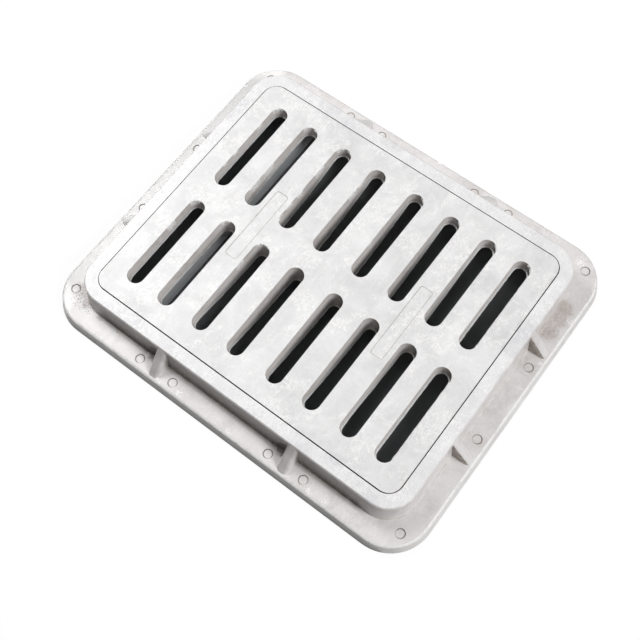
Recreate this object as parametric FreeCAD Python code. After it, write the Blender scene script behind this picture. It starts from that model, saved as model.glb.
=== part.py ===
"""Moulded composite gully grate resting in its frame: two separate solids, in millimetres.

The frame's flange lies on the ground at z = 0 and the origin is at the centre of the clear opening.
X runs along the rows of slots, Y along each slot and Z points up.
"""
import FreeCAD
import Part

import math
import os

Vector = FreeCAD.Vector

# Grate
GRATE_MARGIN = 29.4
GRATE_CORNER_RADIUS = 20.5
GRATE_EDGE_DRAFT = 1.0
GRATE_EDGE_BEVEL = 0.8
EDGE_THICKNESS = 18.0
CENTRE_THICKNESS = 35.0
BELLY_FROM_ENDS = 20.0
BELLY_FROM_SIDES = 7.0

# Slots
SLOT_COLUMNS = 8
SLOT_WIDTH = 25.2
SLOT_LENGTH = 151.8
SLOT_PITCH = 59.9
MIDDLE_PITCH_EXTRA = 5.0
END_PITCH_LESS = 5.2
MIDDLE_BAND = 35.7
SLOT_DRAFT = 4.0

# Pockets under the bars
TOP_SKIN = 12.0
RIB_THICKNESS = 8.5
CROSS_RIB_THICKNESS = 10.0
POCKET_DRAFT = 2.0
POCKET_CORNER = 4.0

# Rounded panels on the bars
PANEL_LENGTH = 119.0
PANEL_WIDTH = 19.5
PANEL_DEPTH = 0.4
PANEL_CORNER_RADIUS = 4.0
PANEL_BAR_FROM_END = 2

# Frame
FRAME_HEIGHT = 57.5
EDGE_GAP = 2.0
RIM_WIDTH = 18.0
RIM_BEVEL = 1.5
WALL_DRAFT = 6.0
WALL_FOOT_FILLET = 1.5
SEAT_WIDTH = 24.0
SEAT_WALL_DRAFT = 1.0
LEDGE_THICKNESS = 12.0
LEDGE_HAUNCH = 12.0
LEDGE_CORNER_RADIUS = 12.0
LOWER_WALL_DRAFT = 3.5

# Flange
FLANGE_WIDTH = 38.0
FLANGE_THICKNESS = 17.0
FLANGE_CORNER_RADIUS = 62.5
FLANGE_EDGE_DRAFT = 14.0
FLANGE_EDGE_ROUNDING = 4.5

# Gussets on the flange
GUSSET_WIDTH = 17.0
GUSSET_TO_EDGE = 8.0
GUSSET_SHOULDER = 6.0
GUSSET_BELOW_RIM = 2.0
GUSSET_ROOT = 0.2
LONG_SIDE_GUSSETS = 109.4
SHORT_SIDE_GUSSETS = 90.3

# Chips broken out of the flange edge
NOTCH_PLACE = 14.0
NOTCH_WIDTH = 8.0
NOTCH_DEPTH = 7.0
HOLLOW_PLACE = 192.0
HOLLOW_RADIUS = 5.0
HOLLOW_DEPTH = 6.0

# How far a cutting tool runs past the face it cuts
OVERCUT = 2.0

# Sizes that follow from the ones above
SEAT_HEIGHT = FRAME_HEIGHT - EDGE_THICKNESS
BELLY_DEPTH = CENTRE_THICKNESS - EDGE_THICKNESS
SLOT_PATTERN = (SLOT_COLUMNS - 1) * SLOT_PITCH + MIDDLE_PITCH_EXTRA - 2 * END_PITCH_LESS + SLOT_WIDTH
GRATE_LENGTH = SLOT_PATTERN + 2 * GRATE_MARGIN
GRATE_WIDTH = 2 * SLOT_LENGTH + MIDDLE_BAND + 2 * GRATE_MARGIN
SEAT_LENGTH = GRATE_LENGTH + 2 * EDGE_GAP
SEAT_BREADTH = GRATE_WIDTH + 2 * EDGE_GAP
SEAT_RADIUS = GRATE_CORNER_RADIUS + EDGE_GAP
RIM_LENGTH = SEAT_LENGTH + 2 * RIM_WIDTH
RIM_BREADTH = SEAT_BREADTH + 2 * RIM_WIDTH
RIM_RADIUS = SEAT_RADIUS + RIM_WIDTH
OPENING_LENGTH = SEAT_LENGTH - 2 * SEAT_WIDTH
OPENING_BREADTH = SEAT_BREADTH - 2 * SEAT_WIDTH
FRAME_LENGTH = RIM_LENGTH + 2 * FLANGE_WIDTH
FRAME_BREADTH = RIM_BREADTH + 2 * FLANGE_WIDTH
ROW_PLACE = (SLOT_LENGTH + MIDDLE_BAND) / 2
GUSSET_REACH = FLANGE_WIDTH - GUSSET_TO_EDGE


def lean(height, angle):
    """Sideways run of a face that leans by angle over height."""
    return height * math.tan(math.radians(angle))


def arc(x, y, z, radius, start, sweep):
    """Level arc about (x, y), from the start angle through sweep, in degrees."""
    circle = Part.Circle(Vector(x, y, z), Vector(0, 0, 1), radius)
    return Part.ArcOfCircle(circle, math.radians(start), math.radians(start + sweep)).toShape()


def joined(arcs):
    """Closed wire of arcs in order, with straight lines between them."""
    edges = []
    for index, edge in enumerate(arcs):
        following = arcs[(index + 1) % len(arcs)]
        end = edge.valueAt(edge.LastParameter)
        start = following.valueAt(following.FirstParameter)
        edges.append(edge)
        edges.append(Part.LineSegment(end, start).toShape())
    return Part.Wire(edges)


def rounded_rectangle(length, breadth, radius, z, centre=(0.0, 0.0)):
    """Closed wire with four round corners, level at z."""
    x, y = length / 2 - radius, breadth / 2 - radius
    cx, cy = centre
    return joined([arc(cx + x, cy - y, z, radius, -90, 90),
                   arc(cx + x, cy + y, z, radius, 0, 90),
                   arc(cx - x, cy + y, z, radius, 90, 90),
                   arc(cx - x, cy - y, z, radius, 180, 90)])


def grown_rectangle(size, grow, z):
    """Rounded rectangle of a (length, breadth, radius), grown outwards all round."""
    length, breadth, radius = size
    return rounded_rectangle(length + 2 * grow, breadth + 2 * grow, radius + grow, z)


def obround(length, width, z, centre):
    """Closed wire of a slot with round ends along Y, level at z."""
    radius = width / 2
    y = length / 2 - radius
    cx, cy = centre
    return joined([arc(cx, cy + y, z, radius, 0, 180), arc(cx, cy - y, z, radius, 180, 180)])


def taper(*wires):
    """Solid with straight sides through level wires of the same make-up."""
    return Part.makeLoft(list(wires), True, True)


def level_edges(shape, height, wanted=None):
    """Edges that lie level at height, of those whose middle passes the test."""
    found = []
    for edge in shape.Edges:
        box = edge.BoundBox
        if abs(box.ZMin - height) < 1e-4 and abs(box.ZMax - height) < 1e-4:
            if wanted is None or wanted(edge.CenterOfMass):
                found.append(edge)
    return found


def column_places():
    """X of each column of slots: wider apart at the middle, closer at the ends."""
    half = SLOT_COLUMNS // 2
    places = [(SLOT_PITCH + MIDDLE_PITCH_EXTRA) / 2]
    for step in range(1, half):
        pitch = SLOT_PITCH - (END_PITCH_LESS if step == half - 1 else 0.0)
        places.append(places[-1] + pitch)
    return [-x for x in reversed(places)] + places


def grate_slab():
    """Slab with drafted edges, as thick as the seat is deep."""
    size = (GRATE_LENGTH, GRATE_WIDTH, GRATE_CORNER_RADIUS)
    lower = grown_rectangle(size, -lean(EDGE_THICKNESS, GRATE_EDGE_DRAFT), SEAT_HEIGHT)
    slab = taper(lower, grown_rectangle(size, 0.0, FRAME_HEIGHT))
    return slab.makeChamfer(GRATE_EDGE_BEVEL, level_edges(slab, FRAME_HEIGHT))


def crown_radius(reach):
    """Radius of an arc that falls by the belly's depth over reach."""
    return (reach ** 2 + BELLY_DEPTH ** 2) / (2 * BELLY_DEPTH)


def grate_belly():
    """Extra depth under the slab, crowned both ways, so that the bars are deepest at the middle."""
    radius_x = crown_radius(OPENING_LENGTH / 2 - BELLY_FROM_ENDS)
    radius_y = crown_radius(OPENING_BREADTH / 2 - BELLY_FROM_SIDES)
    bottom = FRAME_HEIGHT - CENTRE_THICKNESS
    rise = BELLY_DEPTH + OVERCUT
    reach_x = math.sqrt(2 * radius_x * rise - rise ** 2)
    reach_y = math.sqrt(2 * radius_y * rise - rise ** 2)
    left = Vector(0, -reach_y, bottom + rise)
    right = Vector(0, reach_y, bottom + rise)
    keel = Part.Arc(left, Vector(0, 0, bottom), right).toShape()
    face = Part.Face(Part.Wire([keel, Part.LineSegment(right, left).toShape()]))
    pivot = Vector(0, 0, bottom + radius_x)
    swing = math.degrees(math.asin(reach_x / radius_x))
    face.rotate(pivot, Vector(0, 1, 0), -swing)
    crowned = face.revolve(pivot, Vector(0, 1, 0), 2 * swing)
    height = BELLY_DEPTH + OVERCUT / 2
    block = Part.makeBox(OPENING_LENGTH, OPENING_BREADTH, height)
    block.translate(Vector(-OPENING_LENGTH / 2, -OPENING_BREADTH / 2, bottom))
    return crowned.common(block)


def slot_cutter(x, y):
    """Drafted through-slot, narrower towards the underside."""
    depth = CENTRE_THICKNESS + OVERCUT
    shrink = 2 * lean(depth, SLOT_DRAFT)
    centre = (x, y)
    lower = obround(SLOT_LENGTH - shrink, SLOT_WIDTH - shrink, FRAME_HEIGHT - depth, centre)
    upper = obround(SLOT_LENGTH, SLOT_WIDTH, FRAME_HEIGHT, centre)
    return taper(lower, upper)


def cut_rectangle(width, length, corner, z, centre):
    """Closed wire of a rectangle with its corners cut off at 45 degrees, level at z."""
    x, y = width / 2, length / 2
    quarter = [(x, y - corner), (x - corner, y)]
    points = quarter + [(-px, py) for px, py in reversed(quarter)]
    points += [(-px, -py) for px, py in points]
    corners = [Vector(centre[0] + px, centre[1] + py, z) for px, py in points]
    return Part.makePolygon(corners + corners[:1])


def pocket_cutter(x, width, y_low, y_high):
    """Pocket under a bar, narrower towards its ceiling."""
    depth = CENTRE_THICKNESS - TOP_SKIN + OVERCUT
    shrink = 2 * lean(depth, POCKET_DRAFT)
    floor = FRAME_HEIGHT - TOP_SKIN - depth
    centre = (x, (y_low + y_high) / 2)
    length = y_high - y_low
    lower = cut_rectangle(width, length, POCKET_CORNER, floor, centre)
    upper = cut_rectangle(width - shrink, length - shrink, POCKET_CORNER, floor + depth, centre)
    return taper(lower, upper)


def pocket_cutters(columns):
    """Four pockets along each bar, either side of three cross ribs."""
    slot_foot = SLOT_WIDTH - 2 * lean(CENTRE_THICKNESS, SLOT_DRAFT)
    rib = CROSS_RIB_THICKNESS / 2
    outer_end = ROW_PLACE + SLOT_LENGTH / 2 - CROSS_RIB_THICKNESS / 2
    spans = [(rib, ROW_PLACE - rib), (ROW_PLACE + rib, outer_end)]
    cutters = []
    for left, right in zip(columns, columns[1:]):
        width = right - left - slot_foot - 2 * RIB_THICKNESS
        for low, high in spans:
            cutters.append(pocket_cutter((left + right) / 2, width, low, high))
            cutters.append(pocket_cutter((left + right) / 2, width, -high, -low))
    return cutters


def panel_cutters(columns):
    """Shallow rounded panels let into the top of two bars."""
    right = (columns[-PANEL_BAR_FROM_END] + columns[-PANEL_BAR_FROM_END - 1]) / 2
    cutters = []
    for x in (-right, right):
        centre = (x, 0.0)
        outline = rounded_rectangle(PANEL_WIDTH, PANEL_LENGTH, PANEL_CORNER_RADIUS, FRAME_HEIGHT, centre)
        sunk = Part.Face(outline)
        sunk.translate(Vector(0, 0, -PANEL_DEPTH))
        cutters.append(sunk.extrude(Vector(0, 0, PANEL_DEPTH + OVERCUT)))
    return cutters


def make_grate():
    """Slotted slab with a crowned, ribbed underside."""
    columns = column_places()
    body = grate_slab().fuse(grate_belly())
    slots = [slot_cutter(x, y) for x in columns for y in (-ROW_PLACE, ROW_PLACE)]
    body = body.cut(Part.makeCompound(slots))
    body = body.cut(Part.makeCompound(pocket_cutters(columns)))
    body = body.cut(Part.makeCompound(panel_cutters(columns)))
    return body.removeSplitter()


def flange_plate():
    """Wide ground flange with a drafted side and a rounded upper edge."""
    size = (FRAME_LENGTH, FRAME_BREADTH, FLANGE_CORNER_RADIUS)
    upper = grown_rectangle(size, -lean(FLANGE_THICKNESS, FLANGE_EDGE_DRAFT), FLANGE_THICKNESS)
    plate = taper(grown_rectangle(size, 0.0, 0.0), upper)
    return plate.makeFillet(FLANGE_EDGE_ROUNDING, level_edges(plate, FLANGE_THICKNESS))


def upright_wall():
    """Drafted block that carries the rim, bevelled at its top edge."""
    size = (RIM_LENGTH, RIM_BREADTH, RIM_RADIUS)
    start = FLANGE_THICKNESS / 2
    lower = grown_rectangle(size, lean(FRAME_HEIGHT - start, WALL_DRAFT), start)
    wall = taper(lower, grown_rectangle(size, 0.0, FRAME_HEIGHT))
    return wall.makeChamfer(RIM_BEVEL, level_edges(wall, FRAME_HEIGHT))


def fill_wall_foot(body):
    """Small sloping fillet where the wall meets the flange."""
    foot = lean(FRAME_HEIGHT - FLANGE_THICKNESS, WALL_DRAFT) + WALL_FOOT_FILLET
    reach_x = RIM_LENGTH / 2 + foot
    reach_y = RIM_BREADTH / 2 + foot
    edges = level_edges(body, FLANGE_THICKNESS,
                        lambda middle: abs(middle.x) < reach_x and abs(middle.y) < reach_y)
    return body.makeChamfer(WALL_FOOT_FILLET, edges)


def seat_cutter():
    """Recess that holds the grate."""
    size = (SEAT_LENGTH, SEAT_BREADTH, SEAT_RADIUS)
    lower = grown_rectangle(size, -lean(EDGE_THICKNESS, SEAT_WALL_DRAFT), SEAT_HEIGHT)
    upper = grown_rectangle(size, lean(OVERCUT, SEAT_WALL_DRAFT), FRAME_HEIGHT + OVERCUT)
    return taper(lower, upper)


def opening_cutter():
    """Clear opening: upright ledge face, haunch below it and drafted lower wall."""
    size = (OPENING_LENGTH, OPENING_BREADTH, LEDGE_CORNER_RADIUS)
    ledge_foot = SEAT_HEIGHT - LEDGE_THICKNESS
    haunch_foot = ledge_foot - LEDGE_HAUNCH
    base = LEDGE_HAUNCH + lean(haunch_foot + OVERCUT, LOWER_WALL_DRAFT)
    return taper(grown_rectangle(size, base, -OVERCUT),
                 grown_rectangle(size, LEDGE_HAUNCH, haunch_foot),
                 grown_rectangle(size, 0.0, ledge_foot),
                 grown_rectangle(size, 0.0, SEAT_HEIGHT + OVERCUT))


def gusset(wall_distance):
    """Round-shouldered gusset leaning on the +X wall, which is wall_distance from the centre."""
    top = FRAME_HEIGHT - GUSSET_BELOW_RIM
    drop = top - FLANGE_THICKNESS
    slope = Vector(GUSSET_REACH, 0, -drop)
    inward = Vector(-drop, 0, -GUSSET_REACH).normalize()
    start = Vector(wall_distance, 0, top) - slope * GUSSET_ROOT
    flat = Vector(0, GUSSET_WIDTH / 2 - GUSSET_SHOULDER, 0)
    side = Vector(0, GUSSET_SHOULDER, 0)
    depth = inward * 2 * GUSSET_WIDTH
    sink = inward * GUSSET_SHOULDER
    halfway = math.sqrt(0.5)
    left = [start + flat, start + flat + sink + (side - sink) * halfway, start + flat + side + sink]
    right = [start - flat - side + sink, start - flat + sink - (side + sink) * halfway, start - flat]
    edges = [Part.Arc(*left).toShape(), Part.Arc(*right).toShape()]
    corners = [left[-1], start + flat + side + depth, start - flat - side + depth, right[0]]
    edges += [Part.LineSegment(first, second).toShape() for first, second in zip(corners, corners[1:])]
    edges.append(Part.LineSegment(right[-1], left[0]).toShape())
    prism = Part.Face(Part.Wire(Part.__sortEdges__(edges))).extrude(slope * (1 + 2 * GUSSET_ROOT))
    keep = Part.makeBox(2 * GUSSET_REACH, 2 * GUSSET_WIDTH, drop + OVERCUT)
    keep.translate(Vector(wall_distance - GUSSET_REACH / 2, -GUSSET_WIDTH, FLANGE_THICKNESS - OVERCUT))
    return prism.common(keep)


def turned(shape, angle, x=0.0, y=0.0):
    """Copy turned about Z and then moved."""
    copy = shape.copy()
    copy.rotate(Vector(0, 0, 0), Vector(0, 0, 1), angle)
    copy.translate(Vector(x, y, 0))
    return copy


def gussets():
    """Two gussets on each side of the frame."""
    long_side = gusset(RIM_BREADTH / 2)
    short_side = gusset(RIM_LENGTH / 2)
    found = []
    for sign in (-1, 1):
        for angle in (90, -90):
            found.append(turned(long_side, angle, x=sign * LONG_SIDE_GUSSETS))
        for angle in (0, 180):
            found.append(turned(short_side, angle, y=sign * SHORT_SIDE_GUSSETS))
    return found


def chips():
    """Notch through the far long edge and a hollow in the upper left short edge."""
    length = 2 * NOTCH_DEPTH + NOTCH_WIDTH
    centre = (NOTCH_PLACE, FRAME_BREADTH / 2 - NOTCH_DEPTH + length / 2)
    outline = obround(length, NOTCH_WIDTH, -OVERCUT, centre)
    notch = Part.Face(outline).extrude(Vector(0, 0, FLANGE_THICKNESS + 2 * OVERCUT))
    lip = FRAME_LENGTH / 2 - lean(FLANGE_THICKNESS, FLANGE_EDGE_DRAFT)
    tip = Vector(-lip, HOLLOW_PLACE, FLANGE_THICKNESS - HOLLOW_DEPTH)
    hollow = Part.makeCone(0, 2 * HOLLOW_RADIUS, 2 * HOLLOW_DEPTH, tip)
    return [notch, hollow]


def make_frame():
    """Flange, wall, seat, ledge and gussets as one moulding."""
    body = fill_wall_foot(flange_plate().fuse(upright_wall()))
    body = body.fuse(gussets())
    body = body.cut(seat_cutter())
    body = body.cut(opening_cutter())
    body = body.cut(Part.makeCompound(chips()))
    return body.removeSplitter()


def one_solid(shape, name):
    """The single solid of a node, or a clear error."""
    if len(shape.Solids) != 1 or not shape.isValid():
        raise ValueError(name + " isn't one valid solid: " + str(len(shape.Solids)))
    return shape.Solids[0]


def main():
    """Build and write both nodes."""
    os.makedirs("parts", exist_ok=True)
    frame = one_solid(make_frame(), "frame")
    grate = one_solid(make_grate(), "grate")
    frame.exportStep("parts/frame.step")
    grate.exportStep("parts/grate.step")


if __name__ == "__main__":
    main()
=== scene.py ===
"""Looks of a moulded composite gully grate in its frame: edges, marks, flash, crumbs, finish and stage."""

import logging
import math
import random
from dataclasses import dataclass
from enum import Enum, IntEnum
from typing import Callable

import bpy
from mathutils import Matrix, Vector


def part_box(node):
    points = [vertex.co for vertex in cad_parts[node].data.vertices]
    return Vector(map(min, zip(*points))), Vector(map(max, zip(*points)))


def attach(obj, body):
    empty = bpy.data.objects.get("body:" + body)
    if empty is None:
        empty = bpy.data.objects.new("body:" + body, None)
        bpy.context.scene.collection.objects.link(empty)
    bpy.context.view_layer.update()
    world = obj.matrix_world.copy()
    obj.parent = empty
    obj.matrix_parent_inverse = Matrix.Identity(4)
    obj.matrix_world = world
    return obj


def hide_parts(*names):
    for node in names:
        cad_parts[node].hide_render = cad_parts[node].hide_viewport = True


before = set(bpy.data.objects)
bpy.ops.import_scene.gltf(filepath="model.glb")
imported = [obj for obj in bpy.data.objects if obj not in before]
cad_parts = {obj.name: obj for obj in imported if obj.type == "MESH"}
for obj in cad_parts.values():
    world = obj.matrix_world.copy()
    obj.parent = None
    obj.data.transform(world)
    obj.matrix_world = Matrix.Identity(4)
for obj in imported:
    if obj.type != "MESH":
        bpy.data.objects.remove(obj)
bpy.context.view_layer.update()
MM = 0.001
# How far below a level a place may lie and still count as on it, in millimetres.
SLACK_MM = 0.05
# The upward part of a normal: a face is level above the first value and upright below the second.
LEVEL = 0.9
UPRIGHT = 0.5
log = logging.getLogger("gully_grate")

Piece = bpy.types.Object
Material = bpy.types.Material
Node = bpy.types.Node
Socket = bpy.types.NodeSocket
Pair = tuple[float, float]
Triple = tuple[float, float, float]
# A round spot on the surface: x, y, z and radius in millimetres.
Spot = tuple[float, float, float, float]
# A soft side of a region: its axis, where the region begins and where it is full, in millimetres.
Side = tuple[str, float, float]


def linear(code: str) -> tuple[float, float, float, float]:
    """Turn an sRGB hex colour into linear RGBA.

    Args:
        code: six hex digits, such as "c8cacb".

    Returns:
        The colour as Blender's nodes take it.
    """
    values = [int(code[place:place + 2], 16) / 255 for place in (0, 2, 4)]
    red, green, blue = (v / 12.92 if v <= 0.04045 else ((v + 0.055) / 1.055) ** 2.4 for v in values)
    return red, green, blue, 1.0


WHITE = linear("ffffff")


class Nodes:
    """A small hand at building one node tree."""

    def __init__(self, tree: bpy.types.NodeTree) -> None:
        """Start from an empty tree.

        Args:
            tree: the node tree of a material or world.
        """
        tree.nodes.clear()
        self.tree = tree

    def add(self, kind: str, inputs: dict | None = None, **settings: object) -> Node:
        """Add a node with its settings and links.

        Args:
            kind: the node's class name.
            inputs: socket name or number to a value, to an output socket, or to a node for its first output.
            **settings: attributes of the node.

        Returns:
            The new node.
        """
        node = self.tree.nodes.new(kind)
        for name, value in settings.items():
            setattr(node, name, value)
        for name, value in (inputs or {}).items():
            if isinstance(value, Node):
                value = value.outputs[0]
            if isinstance(value, Socket):
                self.tree.links.new(value, node.inputs[name])
            else:
                node.inputs[name].default_value = value
        return node


@dataclass(frozen=True)
class Grain:
    """How a noise looks: its finer layers and swirl, and the values where a pattern begins and is full."""

    detail: float
    swirl: float
    start: float = 0.0
    full: float = 1.0


def drawn_out(place: Socket, turn: float, squash: float) -> dict[str, object]:
    """Inputs that turn a pattern by some radians and draw it out, by squashing its coordinates."""
    return {"Vector": place, "Rotation": (0.0, 0.0, turn), "Scale": (1.0, squash, 1.0)}


class Skin(Nodes):
    """The node tree of a moulded skin: its coordinates, the noises its layers share, its colour so far."""

    # How a spot fades from its rim to its core, in parts of its radius.
    SPOT_FADE = (1.3, 0.3)
    # Where the frayed edge of a spot begins, how wide it is, and how far out it may lie.
    FRAY_LEVEL = 0.62
    FRAY_WIDTH = 0.36
    FRAY_REACH = 0.3

    def __init__(self, tree: bpy.types.NodeTree, mottle: dict[str, object], fine: dict[str, object]) -> None:
        """Start from the coordinates and the two shared noises.

        Args:
            tree: the material's node tree.
            mottle: the size and look of the mottle.
            fine: the size and look of the finest noise.
        """
        super().__init__(tree)
        self.place = self.add("ShaderNodeTexCoord").outputs["Object"]
        self.mottle = self.noise(self.place, **mottle)
        self.fine = self.noise(self.place, **fine)
        self.colour: Socket | None = None

    def noise(self, place: Socket | Node, size_mm: float, grain: Grain) -> Node:
        """A noise whose blobs are about size_mm across, for coordinates in metres."""
        return self.add("ShaderNodeTexNoise", {
            "Vector": place, "Scale": 1 / (size_mm * MM), "Detail": grain.detail, "Roughness": 0.6,
            "Distortion": grain.swirl})

    def rise(self, value: Socket | Node, start: float, full: float, **ends: float) -> Node:
        """Turn a value into 0 at start and 1 at full, or into other ends."""
        inputs = {"Value": value, "From Min": start, "From Max": full}
        return self.add("ShaderNodeMapRange", inputs | ends)

    def times(self, one: Socket | Node | float, other: Socket | Node | float) -> Node:
        """Multiply two values."""
        return self.add("ShaderNodeMath", {0: one, 1: other}, operation="MULTIPLY")

    def spread(self, place: Socket | Node, size_mm: float, grain: Grain) -> Node:
        """Tell where a noise pattern sets in.

        Args:
            place: coordinates in metres.
            size_mm: the size of a blob.
            grain: the pattern's look.

        Returns:
            0 where it is missing, 1 where it is full.
        """
        noise = self.noise(place, size_mm, grain)
        return self.rise(noise, grain.start, grain.full)

    def lay(self, cover: Socket | Node, share: float | Node, code: str) -> None:
        """Lay a colour over the colour so far.

        Args:
            cover: where the new colour lies, 0 to 1.
            share: how much of it shows there.
            code: the new colour, in hex digits.
        """
        amount = self.times(cover, share)
        mixed = self.add("ShaderNodeMix", {0: amount, 6: self.colour, 7: linear(code)}, data_type="RGBA")
        self.colour = mixed.outputs[2]

    def within(self, sides: tuple[Side, ...]) -> Node:
        """Tell what lies inside a region with soft sides.

        Args:
            sides: the region's sides.

        Returns:
            1 inside the region, 0 outside it.
        """
        axes = self.add("ShaderNodeSeparateXYZ", {0: self.place}).outputs
        inside = 1.0
        for axis, start, full in sides:
            side = self.rise(axes[axis], start * MM, full * MM)
            inside = self.times(inside, side)
        return inside

    def patches(self, fray: Node, spots: tuple[Spot, ...], whole: float = 0.5) -> Node:
        """Soft round patches with frayed edges.

        Args:
            fray: noise that frays the edges.
            spots: the patches.
            whole: how much the patch outweighs the noise, so that a low value breaks it into chips.

        Returns:
            1 inside the patches, 0 away from them.
        """
        total = 0.0
        for x, y, z, size in spots:
            middle = (x * MM, y * MM, z * MM)
            away = self.add("ShaderNodeVectorMath", {0: self.place, 1: middle}, operation="DISTANCE")
            rim, core = (size * MM * part for part in self.SPOT_FADE)
            near = self.rise(away.outputs["Value"], rim, core)
            total = self.add("ShaderNodeMath", {0: total, 1: near}, operation="MAXIMUM")
        frayed = self.add("ShaderNodeMath", {0: total, 1: whole, 2: fray}, operation="MULTIPLY_ADD")
        full = self.FRAY_LEVEL + self.FRAY_WIDTH * whole
        solid = self.rise(frayed, self.FRAY_LEVEL, full)
        reached = self.rise(total, 0.0, self.FRAY_REACH)
        return self.times(solid, reached)


@dataclass(frozen=True)
class GlassFibrePolyester:
    """Compression-moulded glass-fibre polyester.

    It gives the eye a satin pale grey, clouded where the compound flowed, with white scuffs, stains and dirt,
    and painted light and shade where a finish has them.
    """

    name: str
    body: str = "e0dedd"
    cloud: str = "edecec"
    seam: str = "d3d0d0"
    scuff_and_light: str = "fbfaf9"
    stain: str = "a3958c"
    speck: str = "6d6057"
    silt_and_shade: str = "5e544b"
    # Dark grey for painted shade, and for the dirt with painted shadow beside the gussets.
    shade_and_grime: str = "4a4745"
    ior: float = 1.52
    roughness: float = 0.36
    roughness_sway: Pair = (-0.05, 0.10)
    relief_mm: float = 0.3
    relief_strength: float = 0.3
    # The size of each pattern on the real surface. Grit is too fine to show, so its specks are drawn coarser.
    cloud_mm: float = 55.0
    mottle_mm: float = 7.0
    streak_mm: float = 5.0
    scuff_mm: float = 3.0
    bare_mm: float = 36.0
    vein_mm: float = 24.0
    crumb_mm: float = 2.2
    speck_mm: float = 1.6
    # The look of each pattern, and the noise values between which it sets in.
    cloud_grain: Grain = Grain(5.0, 1.2)
    cloud_stops: Triple = (0.32, 0.48, 0.68)
    mottle_grain: Grain = Grain(5.0, 0.8)
    pale_span: Pair = (0.45, 0.72)
    gloss_span: Pair = (0.3, 0.7)
    uneven_span: Pair = (-0.30, 0.55)
    fine_grain: Grain = Grain(7.0, 0.3)
    pit_span: Pair = (0.46, 0.34)
    blotch_span: Pair = (0.38, 0.62)
    blotch_share: Pair = (0.35, 0.28)
    streak_grain: Grain = Grain(4.0, 0.5, 0.56, 0.78)
    streak_lie: Pair = (0.35, 0.12)
    rub_grain: Grain = Grain(6.0, 1.0, 0.48, 0.66)
    rub_lie: Pair = (0.12, 0.3)
    rub_size: float = 0.8
    bare_grain: Pair = (4.0, 0.8)
    bare_level: float = 0.72
    bare_gain: float = 0.4
    bare_blur: float = 0.12
    vein_grain: Grain = Grain(4.0, 2.4)
    vein_width: float = 0.02
    crumb_grain: Grain = Grain(5.0, 0.6)
    speck_grain: Grain = Grain(3.0, 0.8, 0.54, 0.62)
    # How much of each layer shows.
    mottle_share: float = 0.6
    streak_share: float = 0.25
    pit_share: float = 0.3
    scuff_share: float = 0.5
    scuff_cover: float = 0.5
    vein_share: float = 0.0
    painted_light_share: float = 0.0
    painted_shade_share: float = 0.0
    silt_and_shade_share: float = 0.0
    near_edge_shade_share: float = 0.7
    gusset_shadow_and_dirt_share: float = 0.85
    crumb_share: float = 0.14
    # Where stains, chips, grit, and the dirt with painted shadow beside the gussets lie.
    stains: tuple[Spot, ...] = ()
    crumbs: tuple[Spot, ...] = ()
    specks: tuple[Spot, ...] = ()
    corners: tuple[Spot, ...] = ()
    # Painted shade: the slot wall that faces away from the light is painted darker.
    painted_shade_facing: Pair = (0.1, -0.6)
    # Painted light: the left end of the flange is painted pale.
    painted_light_sides: tuple[Side, ...] = (("X", -262, -273),)
    # Silt with painted shade lies along the foot of the wall on the near long side, darker towards the bottom
    # and fading up the wall.
    silt_and_shade_sides: tuple[Side, ...] = (("X", 233, 213), ("X", -233, -213), ("Y", -209, -214), ("Y", -231, -223),
                                    ("Z", 67, 19), ("Z", 14, 16))
    # Painted shade along the foot of the near flange edge.
    near_edge_shade_sides: tuple[Side, ...] = (("Y", -249, -252), ("Z", 12, 2))

    def press(self, skin: Skin) -> None:
        """Colour the skin as it left the press: clouded, mottled, streaked and pitted.

        Args:
            skin: the material's nodes.
        """
        cloud = skin.noise(skin.place, self.cloud_mm, self.cloud_grain)
        ramp = skin.add("ShaderNodeValToRGB", {"Fac": cloud})
        ramp.color_ramp.elements.new(0.5)
        codes = (self.seam, self.body, self.cloud)
        for element, stop, code in zip(ramp.color_ramp.elements, self.cloud_stops, codes):
            element.position = stop
            element.color = linear(code)
        skin.colour = ramp.outputs["Color"]
        pale = skin.rise(skin.mottle, *self.pale_span)
        skin.lay(pale, self.mottle_share, self.cloud)
        stretched = skin.add("ShaderNodeMapping", drawn_out(skin.place, *self.streak_lie))
        skin.lay(skin.spread(stretched, self.streak_mm, self.streak_grain), self.streak_share, self.scuff_and_light)
        pit = skin.rise(skin.fine, *self.pit_span)
        skin.lay(pit, self.pit_share, self.seam)

    def rub(self, skin: Skin) -> None:
        """Lay on white scuffs and veins in patches, and painted light that makes one side pale.

        Args:
            skin: the material's nodes.
        """
        start = self.bare_level - self.bare_gain * self.scuff_cover
        bare = skin.spread(skin.place, self.bare_mm, Grain(*self.bare_grain, start, start + self.bare_blur))
        brushed = skin.add("ShaderNodeMapping", drawn_out(skin.place, *self.rub_lie))
        rubs = skin.spread(brushed, self.scuff_mm * self.rub_size, self.rub_grain)
        scuffed = skin.times(rubs, bare)
        skin.lay(scuffed, self.scuff_share, self.scuff_and_light)
        if self.vein_share:
            swirl = skin.noise(skin.place, self.vein_mm, self.vein_grain)
            vein = skin.add("ShaderNodeMath", {0: swirl, 1: 0.5, 2: self.vein_width}, operation="COMPARE")
            veined = skin.times(vein, bare)
            skin.lay(veined, self.vein_share, self.scuff_and_light)
        # Painted light: the left end of the flange painted pale.
        if self.painted_light_share:
            skin.lay(skin.within(self.painted_light_sides), self.painted_light_share, self.scuff_and_light)

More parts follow.
